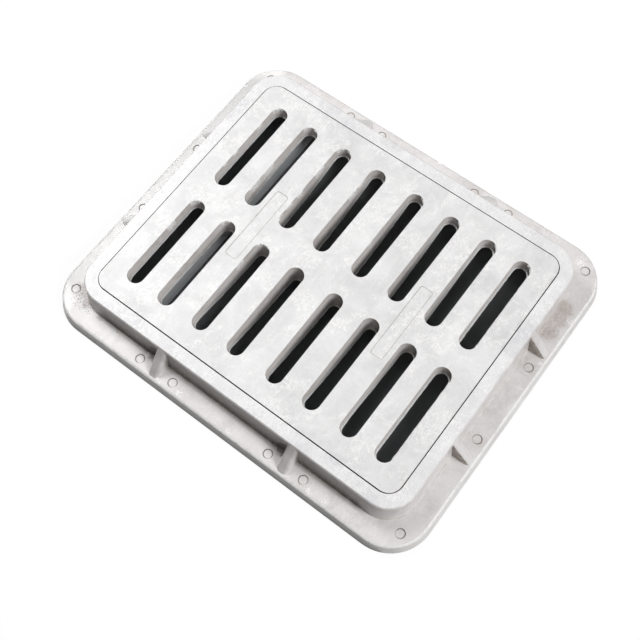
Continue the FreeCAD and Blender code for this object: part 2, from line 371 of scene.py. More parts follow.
    def soil(self, skin: Skin) -> None:
        """Lay on stains, painted shade, silt with painted shade, dirt with painted shadow by the gussets,
        pale chips and grit, each where the finish has it.

        Args:
            skin: the material's nodes.
        """
        if self.stains:
            blotch = skin.rise(skin.fine, *self.blotch_span)
            gain, least = self.blotch_share
            share = skin.add("ShaderNodeMath", {0: blotch, 1: gain, 2: least}, operation="MULTIPLY_ADD")
            skin.lay(skin.patches(skin.mottle, self.stains), share, self.stain)
        # Painted shade on the walls that face away from the light.
        if self.painted_shade_share:
            normal = skin.add("ShaderNodeNewGeometry").outputs["Normal"]
            sideways = skin.add("ShaderNodeSeparateXYZ", {0: normal}).outputs["X"]
            away = skin.rise(sideways, *self.painted_shade_facing)
            skin.lay(away, self.painted_shade_share, self.shade_and_grime)
        # Silt with painted shade at the foot of the near wall, darker towards the bottom.
        if self.silt_and_shade_share:
            uneven = skin.rise(skin.mottle, *self.uneven_span)
            share = skin.times(uneven, self.silt_and_shade_share)
            skin.lay(skin.within(self.silt_and_shade_sides), share, self.silt_and_shade)
            # Painted shade along the foot of the near flange edge.
            skin.lay(skin.within(self.near_edge_shade_sides), self.near_edge_shade_share, self.shade_and_grime)
        # Painted shadow, with some dirt, on the wall just left of each near gusset.
        if self.corners:
            skin.lay(skin.patches(skin.mottle, self.corners, 1.0), self.gusset_shadow_and_dirt_share, self.shade_and_grime)
        if self.crumbs:
            broken = skin.noise(skin.place, self.crumb_mm, self.crumb_grain)
            skin.lay(skin.patches(broken, self.crumbs, self.crumb_share), 1.0, self.scuff_and_light)
        if self.specks:
            dotted = skin.spread(skin.place, self.speck_mm, self.speck_grain)
            skin.lay(dotted, skin.patches(skin.mottle, self.specks), self.speck)

    def make(self) -> Material:
        """Build the material.

        Returns:
            The new material.
        """
        material = bpy.data.materials.new(self.name)
        material.use_nodes = True
        skin = Skin(material.node_tree, {"size_mm": self.mottle_mm, "grain": self.mottle_grain},
                    {"size_mm": self.scuff_mm, "grain": self.fine_grain})
        self.press(skin)
        self.rub(skin)
        self.soil(skin)
        height = skin.add("ShaderNodeMath", {0: skin.fine, 1: skin.mottle}, operation="ADD")
        bump = skin.add("ShaderNodeBump", {"Strength": self.relief_strength, "Distance": self.relief_mm * MM,
                                           "Height": height})
        shiny, dull = (self.roughness + sway for sway in self.roughness_sway)
        gloss = skin.rise(skin.mottle, *self.gloss_span, **{"To Min": shiny, "To Max": dull})
        shader = skin.add("ShaderNodeBsdfPrincipled", {"Base Color": skin.colour, "Roughness": gloss,
                                                       "IOR": self.ior, "Normal": bump})
        skin.add("ShaderNodeOutputMaterial", {"Surface": shader})
        return material


def seen_directly(nodes: Nodes) -> Node:
    """Tell the rays that show a surface to the eye from those that only carry light.

    Args:
        nodes: the tree's builder.

    Returns:
        1 for camera, glossy and transmission rays, otherwise 0.
    """
    path = nodes.add("ShaderNodeLightPath").outputs
    seen = path["Is Camera Ray"]
    for kind in ("Is Glossy Ray", "Is Transmission Ray"):
        seen = nodes.add("ShaderNodeMath", {0: seen, 1: path[kind]}, operation="MAXIMUM")
    return seen


@dataclass(frozen=True)
class PlainFinish:
    """One even matt colour, for the stage. The eye sees seen_white more of it than the light does."""

    name: str
    colour: str
    roughness: float
    seen_white: float = 0.0

    def make(self) -> Material:
        """Build the material.

        Returns:
            The new material.
        """
        material = bpy.data.materials.new(self.name)
        material.use_nodes = True
        nodes = Nodes(material.node_tree)
        inputs = {"Base Color": linear(self.colour), "Roughness": self.roughness, "Specular IOR Level": 0.1}
        shader = nodes.add("ShaderNodeBsdfPrincipled", inputs)
        if self.seen_white:
            strength = nodes.add("ShaderNodeMath", {0: seen_directly(nodes), 1: self.seen_white},
                                 operation="MULTIPLY")
            white = nodes.add("ShaderNodeEmission", {"Color": WHITE, "Strength": strength})
            shader = nodes.add("ShaderNodeAddShader", {0: shader, 1: white})
        nodes.add("ShaderNodeOutputMaterial", {"Surface": shader})
        return material


def pick(piece: Piece) -> None:
    """Make a piece the only one selected, and the active one.

    Args:
        piece: the mesh object.
    """
    bpy.ops.object.select_all(action="DESELECT")
    piece.select_set(True)
    bpy.context.view_layer.objects.active = piece


def start_edit(piece: Piece, action: str = "DESELECT") -> None:
    """Open a piece for editing, with nothing or all of it selected.

    Args:
        piece: the mesh object.
        action: DESELECT for nothing, SELECT for all.
    """
    pick(piece)
    bpy.ops.object.mode_set(mode="EDIT")
    bpy.ops.mesh.select_all(action=action)


def end_edit() -> None:
    """Go back to object mode."""
    bpy.ops.object.mode_set(mode="OBJECT")


def weld(piece: Piece, reach_mm: float) -> None:
    """Join the corners of a piece that lie closer together than reach_mm.

    Args:
        piece: the mesh object.
        reach_mm: the distance in millimetres.
    """
    start_edit(piece, "SELECT")
    bpy.ops.mesh.remove_doubles(threshold=reach_mm * MM)
    end_edit()


def moulding_from(node: str, name: str) -> Piece:
    """Copy a CAD node's mesh as an editable piece, with its corners joined and its flat faces whole.

    Args:
        node: the CAD node.
        name: the new piece's name.

    Returns:
        The new piece, at the origin.
    """
    piece = bpy.data.objects.new(name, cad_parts[node].data.copy())
    bpy.context.scene.collection.objects.link(piece)
    piece.data.materials.clear()
    weld(piece, reach_mm=0.002)
    start_edit(piece, "SELECT")
    bpy.ops.mesh.customdata_custom_splitnormals_clear()
    bpy.ops.mesh.dissolve_limited(angle_limit=math.radians(0.4))
    end_edit()
    return piece


def joined(made: list[Piece], name: str) -> Piece:
    """Join meshes into one piece at the origin.

    Args:
        made: the meshes; the rest are joined to the first.
        name: the piece's name.

    Returns:
        The piece.
    """
    bpy.ops.object.select_all(action="DESELECT")
    for mesh in made:
        mesh.select_set(True)
    bpy.context.view_layer.objects.active = made[0]
    bpy.ops.object.join()
    bpy.ops.object.transform_apply(location=True, rotation=True, scale=True)
    piece = bpy.context.active_object
    piece.name = name
    return piece


def apply_modifier(piece: Piece, kind: str, **settings: object) -> None:
    """Add a modifier to a piece and apply it.

    Args:
        piece: the mesh object.
        kind: the modifier's type.
        **settings: the modifier's attributes.
    """
    pick(piece)
    modifier = piece.modifiers.new(kind.title(), kind)
    for name, value in settings.items():
        setattr(modifier, name, value)
    bpy.ops.object.modifier_apply(modifier=modifier.name)


def shade(piece: Piece, angle_deg: float = 28.0) -> None:
    """Smooth the shading of a piece up to an angle, and keep its flat faces flat.

    Args:
        piece: the mesh object.
        angle_deg: the angle between faces up to which they are smoothed.
    """
    pick(piece)
    bpy.ops.object.shade_smooth_by_angle(angle=math.radians(angle_deg))
    apply_modifier(piece, "WEIGHTED_NORMAL", keep_sharp=True, weight=90)


class Corner(Enum):
    """Which way two faces meet."""

    RAISED = True
    SUNK = False


def soften(piece: Piece, corner: Corner, width_mm: float, material: int,
           where: Callable[[Vector], bool], least_deg: float = 32.0) -> None:
    """Round the sharp edges of one sort in one region.

    Args:
        piece: the mesh object.
        corner: raised or sunk edges.
        width_mm: the width of the rounding.
        material: the material slot of the new faces.
        where: tells whether an edge's middle, in millimetres, is in the region.
        least_deg: the angle between faces from which an edge counts as sharp.
    """
    mesh = piece.data
    start_edit(piece)
    bpy.ops.mesh.select_mode(type="EDGE")
    end_edit()
    beside = {}
    for polygon in mesh.polygons:
        for key in polygon.edge_keys:
            beside.setdefault(key, []).append(polygon)
    for edge in mesh.edges:
        pair = beside.get(edge.key, [])
        if len(pair) != 2:
            continue
        first, second = pair
        middle = sum((mesh.vertices[index].co for index in edge.vertices), Vector()) / (2 * MM)
        raised = (second.center - first.center).dot(first.normal) < 0
        sharp = first.normal.angle(second.normal, 0.0) > math.radians(least_deg)
        edge.select = sharp and raised == corner.value and where(middle)
    bpy.ops.object.mode_set(mode="EDIT")
    bpy.ops.mesh.bevel(offset=width_mm * MM, segments=2, affect="EDGES", material=int(material),
                       clamp_overlap=True)
    end_edit()


def narrow_joint(piece: Piece, reach_mm: float, where: Callable[[Vector], bool],
                 aside_mm: Pair = (0.0, 0.0)) -> None:
    """Push the corners of a rounded outline out by reach_mm, or in where it is negative.

    Args:
        piece: the mesh object.
        reach_mm: how far they move along both axes, away from the middle.
        where: tells whether a corner, in millimetres, is on the outline.
        aside_mm: how far they then move sideways along X and Y, all together.
    """
    start_edit(piece)
    bpy.ops.mesh.select_mode(type="VERT")
    end_edit()
    chosen = [vertex for vertex in piece.data.vertices if where(vertex.co / MM)]
    for vertex in chosen:
        vertex.select = True
    reach = [max(abs(vertex.co[axis]) for vertex in chosen) for axis in (0, 1)]
    bpy.ops.object.mode_set(mode="EDIT")
    bpy.ops.transform.resize(value=(1 + reach_mm * MM / reach[0], 1 + reach_mm * MM / reach[1], 1.0),
                             center_override=(0.0, 0.0, 0.0))
    bpy.ops.transform.translate(value=(aside_mm[0] * MM, aside_mm[1] * MM, 0.0))
    end_edit()


def paint(piece: Piece, material: int, where: Callable[[Vector, Vector], bool]) -> None:
    """Give the faces of one region a material slot, where they still have the first one.

    Args:
        piece: the mesh object.
        material: the material slot.
        where: tells whether a face is in the region, from its middle in millimetres and its normal.
    """
    for polygon in piece.data.polygons:
        if polygon.material_index == 0 and where(polygon.center / MM, polygon.normal):
            polygon.material_index = int(material)


def in_band(height: float, level: float, band: Pair) -> bool:
    """Tell whether a height lies in a band about a level."""
    return level + band[0] < height < level + band[1]


# Brown water stains on the right of the flange, which its edge and foot share.
FLANGE_STAINS = ((278, 160, 17, 16), (281, 142, 17, 15), (277, 122, 17, 18))
# The frame's skin as moulded: satin and pale, with stains, grit, chips and silt where water leaves them,
# painted light on its left end, and painted shade on the near side and beside the gussets.
MOULDED_FRAME = GlassFibrePolyester(
    "moulded_polyester", body="dfdbda", cloud="e9e7e6", seam="d1ccca", roughness=0.31, painted_light_share=0.85,
    silt_and_shade_share=0.97,
    # Painted shadow with some dirt just left of each near gusset.
    corners=((-124, -221, 22, 12), (-121, -221, 34, 10), (95, -221, 22, 12), (98, -221, 34, 10)),
    stains=FLANGE_STAINS + ((-266, -206, 17, 14), (-250, -220, 17, 10), (-222, -224, 17, 7),
                            (-190, -224, 17, 6)),
    specks=((-268, -205, 17, 16), (-262, -222, 17, 15), (-246, -224, 17, 12), (-225, -224, 17, 7),
            (12, -257, 1, 8), (35, -257, 1, 6), (128, -257, 1, 7), (160, -257, 1, 6), (-88, -257, 1, 7),
            (-216, -257, 1, 7), (220, -257, 1, 6)),
    crumbs=((-66, -245, 17, 7), (-95, -250, 17, 4), (-101, -247, 17, 3), (86, -251, 17, 4),
            (152, -247, 17, 6), (20, -248, 17, 5), (176, -244, 17, 7), (293, 30, 17, 6), (296, 74, 17, 5),
            (290, -88, 17, 6), (297, 150, 17, 6), (262, 236, 17, 9)))
# The rim, worn by feet and wheels: paler, with dense white scuffs and veins.
RUBBED_RIM = GlassFibrePolyester(
    "rubbed_polyester_rim", body="e6e5e6", cloud="f0f0f1", seam="d8d7da", mottle_mm=4.0, mottle_share=0.8,
    scuff_mm=2.2, scuff_share=1.0, scuff_cover=0.8, pit_share=0.8, streak_share=0.5, vein_share=0.7)
# Knocked edges: white and dull, because the broken resin scatters the light.
CHIPPED_EDGE = GlassFibrePolyester(
    "chipped_polyester_edge", body="f0efee", cloud="fbfbfa", seam="d9d7d5", cloud_mm=9.0, scuff_share=0.9,
    roughness=0.6)
# Dust in the corner at the wall's foot: a dull, slightly darker line, which on the near side also takes the
# silt with painted shade.
CORNER_DIRT_AND_SHADE = GlassFibrePolyester(
    "dirt_and_shade_in_corners", body="cdc8c4", cloud="dedbd8", seam="b2aba5", cloud_mm=9.0, scuff_share=0.2,
    roughness=0.7, silt_and_shade_share=0.97, stains=FLANGE_STAINS)
# Painted shade in the joint between grate and frame: near black and dull, so that the joint reads as a dark
# line.
JOINT_SHADE = GlassFibrePolyester(
    "painted_shade_in_joint", body="3c3935", cloud="4a4640", seam="2c2a27", scuff_and_light="5a5650", scuff_share=0.1,
    roughness=0.8)
# Dirt that stays in the ejector rings: dull brown-grey circles. The same finish is painted shade on the
# gusset flanks at the right end that face the near side.
RING_DIRT_AND_FLANK_SHADE = GlassFibrePolyester(
    "ring_dirt_and_flank_shade", body="978e87", cloud="b6aea7", seam="756d66", cloud_mm=9.0, scuff_share=0.2,
    roughness=0.7)
# The slot walls: darker, with painted shade on the walls that face away from the light and white chips at the
# mouths.
MOULDED_SLOT = GlassFibrePolyester(
    "moulded_polyester_slot", body="d6d1ce", cloud="e2dedb", seam="c5bfbb", crumb_share=0.26, painted_shade_share=0.9,
    crumbs=((-215.5, 165, 56, 9), (-220.5, 126, 56, 8), (-220.5, 73, 56, 8), (-220.5, 50, 56, 7),
            (-166, 78, 54, 14), (-166, 48, 54, 14), (-163, 165, 56, 7), (-147, 168, 56, 6),
            (-103.5, 165, 56, 8), (-86, 168, 56, 7), (-105, 120, 54, 12), (-105, 74, 56, 10),
            (-105, 50, 56, 8), (-103.6, 27, 56, 8), (-46, 137, 56, 8), (-46, 116, 54, 10),
            (40.6, 165, 56, 7), (101.6, 164, 56, 6), (161.7, 165, 56, 6), (215.5, 165, 56, 7),
            (14, 70, 54, 9), (-216, -22, 56, 10), (-219, -70, 52, 10), (-162, -22, 56, 10),
            (-99.7, -20, 56, 9), (-90, -18.5, 56, 7), (-96.5, -158, 52, 7), (-105, -60, 53, 9)))
# The grate's top, worn by feet and wheels a little less than the rim.
RUBBED_TOP = GlassFibrePolyester(
    "rubbed_polyester_top", body="e3e2e2", cloud="eeeeee", seam="d9d8d8", mottle_share=0.5, scuff_mm=2.6,
    scuff_share=1.0, scuff_cover=0.62, pit_share=0.5, streak_share=0.4, vein_share=0.8)
# Knocked slot mouths, flash and crumbs: white and dull, as on the edges.
CHIPPED_MOUTH = GlassFibrePolyester(
    "chipped_polyester_mouth", body="ecebea", cloud="fbfbfa", seam="cfccca", cloud_mm=12.0, scuff_share=0.9,
    roughness=0.6)
# Painted shade round the sunk panels: a thin dull grey outline.
PANEL_SHADE_LINE = GlassFibrePolyester(
    "painted_shade_round_panels", body="b0aca8", cloud="c9c6c3", seam="97928e", cloud_mm=9.0, scuff_share=0.2,
    roughness=0.7)


class FrameSlot(IntEnum):
    """The frame's finishes, in the order of its material slots."""

    BODY = 0
    RIM = 1
    EDGE = 2
    FOOT = 3
    JOINT = 4
    MARKS = 5


@dataclass
class FrameMoulding:
    """The frame: softened and worn edges, ejector rings and finish over the CAD form."""

    edge_mm: float = 1.8
    foot_mm: float = 0.7
    ring_mm: float = 6.2
    groove_mm: float = 0.9
    faint_mm: float = 0.3
    ring_lift: float = 0.3
    lean_deg: float = 3.6
    flange_top_mm: float = 17.0
    seat_mm: Pair = (251.6, 201.6)
    lip_mm: float = 0.67
    inner_mm: float = 46.0
    rings: tuple[Pair, ...] = ((81.4, 239.0), (139.0, 239.0), (287.5, 61.3))
    corner_rings: tuple[Pair, ...] = ((274.0, 227.0), (278.0, -220.0), (-279.8, -213.7), (-276.0, 222.0))
    rim_ring: Pair = (252.5, 201.3)
    # Bands of height in which the faces of each region lie, from the flange's top.
    clear_mm: float = 0.2
    foot_band_mm: Pair = (-0.5, 3.0)
    edge_band_mm: Pair = (-6.0, -SLACK_MM)
    fillet_band_mm: Pair = (0.02, 1.6)
    # How deep the rim's faces lie under the frame's top, and the band of the joint's walls.
    rim_depth_mm: float = 2.0
    joint_band_mm: Pair = (-17.0, -SLACK_MM)
    # Gusset flanks at the right end, which get painted shade, lie off the flange, off the rim and off the
    # corners.
    flank_gap_mm: Triple = (1.0, 4.0, 10.0)
    # Parts of the normal between which a face is on the rounded edge or the fillet, or faces far, or faces
    # near and gets painted shade.
    edge_slope: Pair = (0.4, 0.97)
    fillet_slope: Pair = (0.2, 0.95)
    facing_far: float = 0.2
    shaded_flank_facing: float = -0.6
    finishes: tuple[GlassFibrePolyester, ...] = (MOULDED_FRAME, RUBBED_RIM, CHIPPED_EDGE, CORNER_DIRT_AND_SHADE,
                                                 JOINT_SHADE, RING_DIRT_AND_FLANK_SHADE)

    def ring_cutter(self, clean: Material, dirt: Material) -> Piece:
        """Model the round grooves that the ejector pins left, deeper on the side that the pin leant to.

        Args:
            clean: the finish of the grooves in the rim.
            dirt: the finish of the grooves in the flange.

        Returns:
            One mesh of all the rings.
        """
        rim_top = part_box("frame")[1].z / MM
        corners = ((1, 1), (1, -1), (-1, 1), (-1, -1))
        x, y = self.rim_ring
        places = [(along * x, across * y, rim_top, self.faint_mm, clean) for along, across in corners]
        deep = (self.flange_top_mm, self.groove_mm, dirt)
        places += [(along * x, across * y, *deep) for along, across in corners for x, y in self.rings]
        places += [(x, y, *deep) for x, y in self.corner_rings]
        lean = math.radians(self.lean_deg)
        made = []
        for x, y, top, groove, finish in places:
            side = 1.0 if x > self.rim_ring[0] else -1.0
            middle = (x * MM, y * MM, (top + self.ring_lift * groove) * MM)
            bpy.ops.mesh.primitive_torus_add(major_radius=self.ring_mm * MM, minor_radius=groove * MM,
                                             major_segments=40, minor_segments=8, location=middle,
                                             rotation=(-lean, lean * side, 0.0))
            made.append(bpy.context.active_object)
            made[-1].data.materials.append(finish)
        return joined(made[::-1], "ring_cutter")

    def build(self) -> Piece:
        """Model and dress the frame.

        Returns:
            The finished piece.
        """
        piece = moulding_from("frame", "frame_moulding")
        for finish in self.finishes:
            piece.data.materials.append(finish.make())
        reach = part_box("frame")[1] / MM
        top = reach.z
        foot = self.flange_top_mm
        reach_x, reach_y = (side - self.inner_mm for side in reach.xy)
        seat_x, seat_y = self.seat_mm
        above, below, aside = self.flank_gap_mm
        soften(piece, Corner.RAISED, self.edge_mm, FrameSlot.EDGE,
               lambda at: at.z > foot + self.clear_mm and (abs(at.x) > reach_x or abs(at.y) > reach_y))
        soften(piece, Corner.SUNK, self.foot_mm, FrameSlot.FOOT,
               lambda at: in_band(at.z, foot, self.foot_band_mm))
        paint(piece, FrameSlot.RIM, lambda at, normal: normal.z > LEVEL and at.z > top - self.rim_depth_mm)
        paint(piece, FrameSlot.EDGE, lambda at, normal: in_band(normal.z, 0.0, self.edge_slope)
              and in_band(at.z, foot, self.edge_band_mm) and normal.y < self.facing_far)
        paint(piece, FrameSlot.FOOT, lambda at, normal: in_band(normal.z, 0.0, self.fillet_slope)
              and in_band(at.z, foot, self.fillet_band_mm))
        # Painted shade on the gusset flanks at the right end that face the near side.
        paint(piece, FrameSlot.MARKS, lambda at, normal: normal.y < self.shaded_flank_facing and at.x > reach_x
              and foot + above < at.z < top - below and abs(at.y) < reach_y - aside)
        # Painted shade on the walls of the joint.
        paint(piece, FrameSlot.JOINT, lambda at, normal: abs(normal.z) < UPRIGHT and abs(at.x) < seat_x
              and abs(at.y) < seat_y and in_band(at.z, top, self.joint_band_mm))
        narrow_joint(piece, -self.lip_mm,
                     lambda at: at.z > top - SLACK_MM and abs(at.x) < seat_x and abs(at.y) < seat_y)
        weld(piece, reach_mm=0.04)
        cutter = self.ring_cutter(piece.data.materials[FrameSlot.RIM], piece.data.materials[FrameSlot.MARKS])
        apply_modifier(piece, "BOOLEAN", operation="DIFFERENCE", solver="EXACT", material_mode="TRANSFER",
                       object=cutter)
        bpy.data.objects.remove(cutter)
        shade(piece)
        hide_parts("frame")
        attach(piece, "root")
        return piece


class GrateSlot(IntEnum):
    """The grate's finishes, in the order of its material slots."""

    WALL = 0
    TOP = 1
    MOUTH = 2
    PANEL = 3
    JOINT = 4


@dataclass
class GrateMoulding:
    """The grate: softened slot mouths, lined panels, flash at each slot's foot and crumbs at its mouth."""

    mouth_mm: float = 0.45
    edge_mm: float = 3.0
    panel_edge_mm: float = 0.9
    panel_line_mm: float = 0.8
    lip_mm: float = 0.67
    lip_share: float = 0.4
    aside_mm: Pair = (-0.40, 0.25)
    corner_mm: float = 20.5
    panel_mm: Pair = (122.3, 11.0)
    panel_middle_mm: float = 1.0
    # Depths under the top to which a mouth's edge, a panel's edge and the worn top reach.
    mouth_depth_mm: float = 0.6
    panel_depth_mm: float = 0.1
    worn_depth_mm: float = 1.0
    panel_band_mm: Pair = (-0.6, -SLACK_MM)
    column_mm: tuple[float, ...] = (32.45, 92.35, 152.25, 206.95)
    row_mm: float = 93.75
    slot_width_mm: float = 25.2
    slot_length_mm: float = 151.8
    slot_draft: float = 4.0
    edge_thickness_mm: float = 18.0
    centre_thickness_mm: float = 35.0
    belly_reach_mm: Pair = (206.95, 170.05)
    # The flash: how far it reaches out and into the wall, how high its rims lie, and its waves.
    flash_mm: float = 1.3
    flash_root_mm: float = 0.3
    flash_rim_mm: float = 0.25
    flash_wall_mm: float = 0.5
    flash_skin_mm: float = 0.45
    flash_points: int = 160
    flash_waves: int = 6
    wave_counts: tuple[int, int] = (3, 40)
    wave_height: float = 0.3
    # The crumbs: their spacing, size and depth, and how rough and flat they are.
    crumb_step_mm: float = 1.6
    crumb_chance: float = 0.75
    crumb_reach: float = 0.8
    crumb_mm: Pair = (0.9, 2.1)
    crumb_depth_mm: float = 2.5
    crumb_flat: Pair = (0.6, 1.0)
    crumb_rough: float = 0.7
    seed: int = 7
    finishes: tuple[GlassFibrePolyester, ...] = (MOULDED_SLOT, RUBBED_TOP, CHIPPED_MOUTH, PANEL_SHADE_LINE,
                                                 JOINT_SHADE)

    def __post_init__(self) -> None:
        """Measure the height of the walking surface and the way round a slot, in millimetres."""
        self.top_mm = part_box("grate")[1].z / MM
        self.half_mm = (self.slot_length_mm - self.slot_width_mm) / 2
        self.around_mm = 4 * self.half_mm + math.pi * self.slot_width_mm
        self.slots = [(side * x, row * self.row_mm) for side in (-1, 1) for x in self.column_mm
                      for row in (-1, 1)]

    def underside(self, x: float, y: float) -> float:
        """Height of the crowned underside.

        Args:
            x: place along the rows, in millimetres.
            y: place along the slots, in millimetres.

        Returns:
            The height in millimetres.
        """
        sag = self.centre_thickness_mm - self.edge_thickness_mm
        height = self.top_mm - self.centre_thickness_mm
        for value, reach in zip((x, y), self.belly_reach_mm):
            radius = (reach ** 2 + sag ** 2) / (2 * sag)
            height += radius - math.sqrt(radius ** 2 - value ** 2)
        return min(height, self.top_mm - self.edge_thickness_mm)

    def outline(self, way: float) -> tuple[float, float, Pair]:
        """Point on a slot's outline at its mouth.

        Args:
            way: the way round, in millimetres, from the middle of the right side.

        Returns:
            The point's sideways and lengthways place, and the outward direction there.
        """
        half = self.half_mm
        radius = self.slot_width_mm / 2
        bend = math.pi * radius
        if way < half:
            return radius, way, (1.0, 0.0)
        if way < half + bend:
            angle = (way - half) / radius
            outward = (math.cos(angle), math.sin(angle))
            return radius * outward[0], half + radius * outward[1], outward
        if way < 3 * half + bend:
            return -radius, half - (way - half - bend), (-1.0, 0.0)
        if way < 3 * half + 2 * bend:
            angle = math.pi + (way - 3 * half - bend) / radius
            outward = (math.cos(angle), math.sin(angle))
            return radius * outward[0], -half + radius * outward[1], outward
        return radius, -half + (way - 3 * half - 2 * bend), (1.0, 0.0)

    def by_panel(self, at: Vector) -> bool:
        """Tell whether a place in millimetres is on one of the sunk panels or their outlines."""
        return abs(abs(at.x) - self.panel_mm[0]) < self.panel_mm[1]

    def line_panels(self, piece: Piece) -> None:
        """Set a narrow line off round the floor of each panel.

        Args:
            piece: the grate.
        """
        start_edit(piece)
        bpy.ops.mesh.select_mode(type="FACE")
        end_edit()
        for polygon in piece.data.polygons:
            middle = polygon.center / MM
            polygon.select = (polygon.normal.z > LEVEL and in_band(middle.z, self.top_mm, self.panel_band_mm)
                              and self.by_panel(middle))
        bpy.ops.object.mode_set(mode="EDIT")
        bpy.ops.mesh.inset(thickness=self.panel_line_mm * MM)
        end_edit()

    def flash(self, x: float, y: float, draw: random.Random) -> Piece:
        """Model the thin uneven skin of compound at the foot of one slot.

        Args:
            x: the slot's centre along the rows.
            y: the slot's centre along the slots.
            draw: the source of its unevenness.

        Returns:
            A closed thin ring that grows out of the slot's wall.
        """
        bpy.ops.object.select_all(action="DESELECT")
        bpy.ops.mesh.primitive_circle_add(vertices=self.flash_points, radius=1.0, fill_type="NOTHING")
        ring = bpy.context.active_object
        start_edit(ring, "SELECT")
        bpy.ops.mesh.extrude_region_move()
        end_edit()
        waves = [(draw.randint(*self.wave_counts), draw.uniform(0, 2 * math.pi))
                 for _ in range(self.flash_waves)]
        for index, vertex in enumerate(ring.data.vertices):
            turn = index % self.flash_points / self.flash_points
            side, along, outward = self.outline(turn * self.around_mm)
            px, py = x + side, y + along
            foot = self.underside(px, py)
            inner = index >= self.flash_points
            wave = sum(math.sin(2 * math.pi * count * turn + phase) for count, phase in waves) / len(waves)
            reach = self.flash_mm * (1 + self.wave_height * wave) if inner else -self.flash_root_mm
            inset = (self.top_mm - foot) * math.tan(math.radians(self.slot_draft)) + reach
            above = self.flash_rim_mm if inner else self.flash_wall_mm
            vertex.co = ((px - outward[0] * inset) * MM, (py - outward[1] * inset) * MM, (foot + above) * MM)
        apply_modifier(ring, "SOLIDIFY", thickness=self.flash_skin_mm * MM, offset=0.0)
        return ring

    def grow_flash(self, finish: Material, draw: random.Random) -> Piece:
        """Model the flash of all the slots.

        Args:
            finish: its finish.
            draw: the source of its unevenness.

        Returns:
            One mesh of all the rings.
        """
        flash = joined([self.flash(x, y, draw) for x, y in self.slots], "slot_flash")
        flash.data.materials.append(finish)
        return flash

    def crumbs(self, shape: Piece, x: float, y: float,
               draw: random.Random) -> list[Piece]:
        """Stick crumbs of broken compound to one slot's wall, wherever its finish is chipped.

        Args:
            shape: one crumb, 1 m in radius.
            x: the slot's centre along the rows.
            y: the slot's centre along the slots.
            draw: the source of their sizes and places.

        Returns:
            The crumbs.
        """
        made = []
        for number in range(int(self.around_mm / self.crumb_step_mm)):
            side, along, outward = self.outline(number * self.crumb_step_mm)
            px, py = x + side, y + along
            near = any(math.hypot(px - chip_x, py - chip_y) < self.crumb_reach * size
                       for chip_x, chip_y, _, size in self.finishes[GrateSlot.WALL].crumbs)
            if not near or draw.random() > self.crumb_chance:
                continue
            size = draw.uniform(*self.crumb_mm)
            depth = size + self.crumb_depth_mm * draw.random() ** 3
            inset = depth * math.tan(math.radians(self.slot_draft))
            crumb = bpy.data.objects.new("crumb", shape.data.copy())
            bpy.context.scene.collection.objects.link(crumb)
            crumb.location = ((px - outward[0] * inset) * MM, (py - outward[1] * inset) * MM,
                              (self.top_mm - depth) * MM)
            crumb.rotation_euler = [draw.uniform(0, 2 * math.pi) for _ in range(3)]
            crumb.scale = (size * MM, size * draw.uniform(*self.crumb_flat) * MM,
                           size * draw.uniform(*self.crumb_flat) * MM)
            made.append(crumb)
        return made

    def stick_crumbs(self, finish: Material, draw: random.Random) -> Piece:
        """Model one crumb and stick copies of it to the walls of all the slots.

        Args:
            finish: their finish.
            draw: the source of their sizes and places.

        Returns:
            One mesh of all the crumbs.
        """
        bpy.ops.object.select_all(action="DESELECT")
        bpy.ops.mesh.primitive_ico_sphere_add(subdivisions=1, radius=1.0)
        shape = bpy.context.active_object
        start_edit(shape, "SELECT")
        bpy.ops.mesh.subdivide(number_cuts=1, fractal=self.crumb_rough, seed=self.seed)
        end_edit()
        shape.data.materials.append(finish)
        made = [crumb for x, y in self.slots for crumb in self.crumbs(shape, x, y, draw)]
        bpy.data.objects.remove(shape)
        return joined(made, "mouth_crumbs")

    def build(self) -> list[Piece]:
        """Model and dress the grate, its flash and its crumbs.

        Returns:
            The finished pieces.
        """
        piece = moulding_from("grate", "grate_moulding")
        for finish in self.finishes:
            piece.data.materials.append(finish.make())
        top = self.top_mm
        edge_x, edge_y = (side - self.edge_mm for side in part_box("grate")[1].xy / MM)
        corner = self.corner_mm - self.edge_mm / 2
        # Painted shade on the rounded edges of the sunk panels.
        soften(piece, Corner.RAISED, self.panel_edge_mm, GrateSlot.PANEL,
               lambda at: at.z > top - self.panel_depth_mm and self.by_panel(at))
        soften(piece, Corner.RAISED, self.mouth_mm, GrateSlot.MOUTH,
               lambda at: at.z > top - self.mouth_depth_mm and abs(at.x) < edge_x and abs(at.y) < edge_y
               and not self.by_panel(at))
        self.line_panels(piece)
        # Painted shade: a thin grey line round each sunk panel.
        paint(piece, GrateSlot.PANEL, lambda at, normal: in_band(at.z, top, self.panel_band_mm)
              and self.by_panel(at) and (normal.z < LEVEL or abs(at.y) > self.panel_middle_mm
                                         or abs(abs(at.x) - self.panel_mm[0]) > self.panel_middle_mm))
        paint(piece, GrateSlot.TOP, lambda at, normal: normal.z > LEVEL and at.z > top - self.worn_depth_mm)
        # Painted shade on the walls of the joint.
        paint(piece, GrateSlot.JOINT, lambda at, normal: abs(normal.z) < UPRIGHT and at.z < top - SLACK_MM
              and (abs(at.x) > edge_x or abs(at.y) > edge_y))
        centre_x, centre_y = edge_x - corner, edge_y - corner
        narrow_joint(piece, self.lip_mm, lambda at: at.z > top - SLACK_MM
                     and math.hypot(max(abs(at.x) - centre_x, 0.0), max(abs(at.y) - centre_y, 0.0))
                     > corner + self.lip_share * self.edge_mm, self.aside_mm)
        shade(piece)
        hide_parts("grate")
        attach(piece, "root")
        draw = random.Random(self.seed)
        chipped = piece.data.materials[GrateSlot.MOUTH]
        flash = self.grow_flash(chipped, draw)
        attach(flash, "root")
        crumbs = self.stick_crumbs(chipped, draw)
        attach(crumbs, "root")
        return [piece, flash, crumbs]


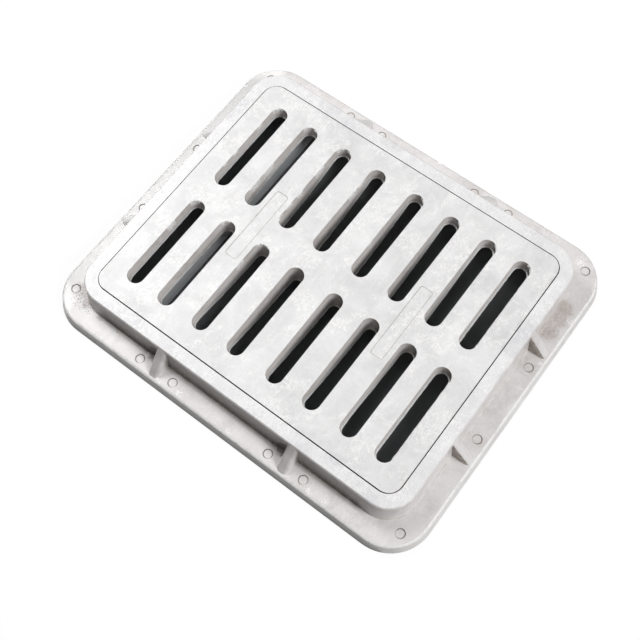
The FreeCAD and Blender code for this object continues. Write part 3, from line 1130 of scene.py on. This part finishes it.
@dataclass(frozen=True)
class Sheet:
    """A level sheet of the stage, by its size and middle in metres."""

    name: str
    size_m: Pair
    place_m: Triple
    finish: PlainFinish

    def lay(self) -> None:
        """Lay it."""
        bpy.ops.object.select_all(action="DESELECT")
        bpy.ops.mesh.primitive_plane_add(size=1.0, location=self.place_m)
        sheet = bpy.context.active_object
        sheet.name = self.name
        sheet.scale = (*self.size_m, 1.0)
        bpy.ops.object.transform_apply(location=True, rotation=True, scale=True)
        sheet.data.materials.append(self.finish.make())


@dataclass(frozen=True)
class SoftBox:
    """A square soft box that faces the object, by its place and side in metres and its power in watts."""

    name: str
    place_m: Triple
    side_m: float
    power: float

    def hang(self) -> None:
        """Hang it."""
        lamp = bpy.data.lights.new(self.name, "AREA")
        lamp.size = self.side_m
        lamp.energy = self.power
        box = bpy.data.objects.new(self.name, lamp)
        box.location = self.place_m
        box.rotation_euler = (-Vector(self.place_m)).to_track_quat("-Z", "Y").to_euler()
        bpy.context.scene.collection.objects.link(box)


@dataclass
class Stage:
    """White floor, the dark gully under the slots with a strip of painted light, soft boxes and world."""

    sheets: tuple[Sheet, ...] = (
        # A plain sweep that the eye sees as white, though it sends little light back to the object.
        Sheet("floor", (8.0, 8.0), (0.0, 0.0, -0.0002),
              PlainFinish("white_sweep", "606060", 0.9, seen_white=0.90)),
        # The shaded ground in the gully, and a pale strip painted on it as light under one column of slots.
        Sheet("gully_dark", (0.56, 0.46), (0.0, 0.0, 0.0001), PlainFinish("dark_gully", "888c8f", 0.8)),
        Sheet("gully_painted_light", (0.022, 0.35), (-0.1785, 0.018, 0.0003),
              PlainFinish("painted_light_in_gully", "dce1e4", 0.8)))
    boxes: tuple[SoftBox, ...] = (SoftBox("key", (3.04, 0.15, 2.54), 1.6, 117.0),
                                  SoftBox("back", (-1.08, 0.20, 1.50), 0.7, 14.6),
                                  SoftBox("overhead", (-0.50, 0.40, 2.00), 0.8, 5.6),
                                  SoftBox("left", (-1.80, 0.10, 0.25), 0.5, 5.0))
    fill: float = 0.02

    def world(self) -> None:
        """White surroundings to the eye, and a dim even fill as light."""
        world = bpy.data.worlds.new("studio")
        world.use_nodes = True
        nodes = Nodes(world.node_tree)
        fill = nodes.add("ShaderNodeBackground", {"Color": WHITE, "Strength": self.fill})
        white = nodes.add("ShaderNodeBackground", {"Color": WHITE, "Strength": 1.0})
        mixed = nodes.add("ShaderNodeMixShader", {0: seen_directly(nodes), 1: fill, 2: white})
        nodes.add("ShaderNodeOutputWorld", {"Surface": mixed})
        bpy.context.scene.world = world

    def build(self) -> None:
        """Set the stage."""
        for sheet in self.sheets:
            sheet.lay()
        for box in self.boxes:
            box.hang()
        self.world()
        bpy.context.scene.view_settings.view_transform = "Standard"


@dataclass
class PhotoCamera:
    """The camera at the photograph's view, worked out from the outlines of the slots, rim and flange."""

    place_mm: Triple = (358.2, -434.0, 1263.8)
    heading: float = 131.04
    elevation: float = -67.83
    roll: float = -4.25
    focal_px: float = 985.6
    image_px: float = 640.0
    centre_px: Pair = (320.5, 321.7)
    sensor_mm: float = 36.0

    def build(self) -> None:
        """Make the camera and give it to the scene."""
        data = bpy.data.cameras.new("photo_camera")
        data.sensor_width = self.sensor_mm
        data.lens = self.focal_px / self.image_px * data.sensor_width
        data.shift_x = (self.image_px / 2 - self.centre_px[0]) / self.image_px
        data.shift_y = (self.centre_px[1] - self.image_px / 2) / self.image_px
        camera = bpy.data.objects.new("photo_camera", data)
        bpy.context.scene.collection.objects.link(camera)
        flat, tilt = math.radians(self.heading), math.radians(self.elevation)
        ahead = Vector((math.cos(flat) * math.cos(tilt), math.sin(flat) * math.cos(tilt), math.sin(tilt)))
        level = ahead.to_track_quat("-Z", "Y").to_matrix()
        turn = Matrix.Rotation(math.radians(self.roll), 3, "Z")
        camera.matrix_world = Matrix.Translation(Vector(self.place_mm) * MM) @ (level @ turn).to_4x4()
        bpy.context.scene.camera = camera


def main() -> None:
    """Build the camera, the pieces and the stage in order."""
    logging.basicConfig(level=logging.INFO)
    PhotoCamera().build()
    for piece in [FrameMoulding().build(), *GrateMoulding().build()]:
        log.info("%s: %d faces", piece.name, len(piece.data.polygons))
    Stage().build()


if __name__ == "__main__":
    main()
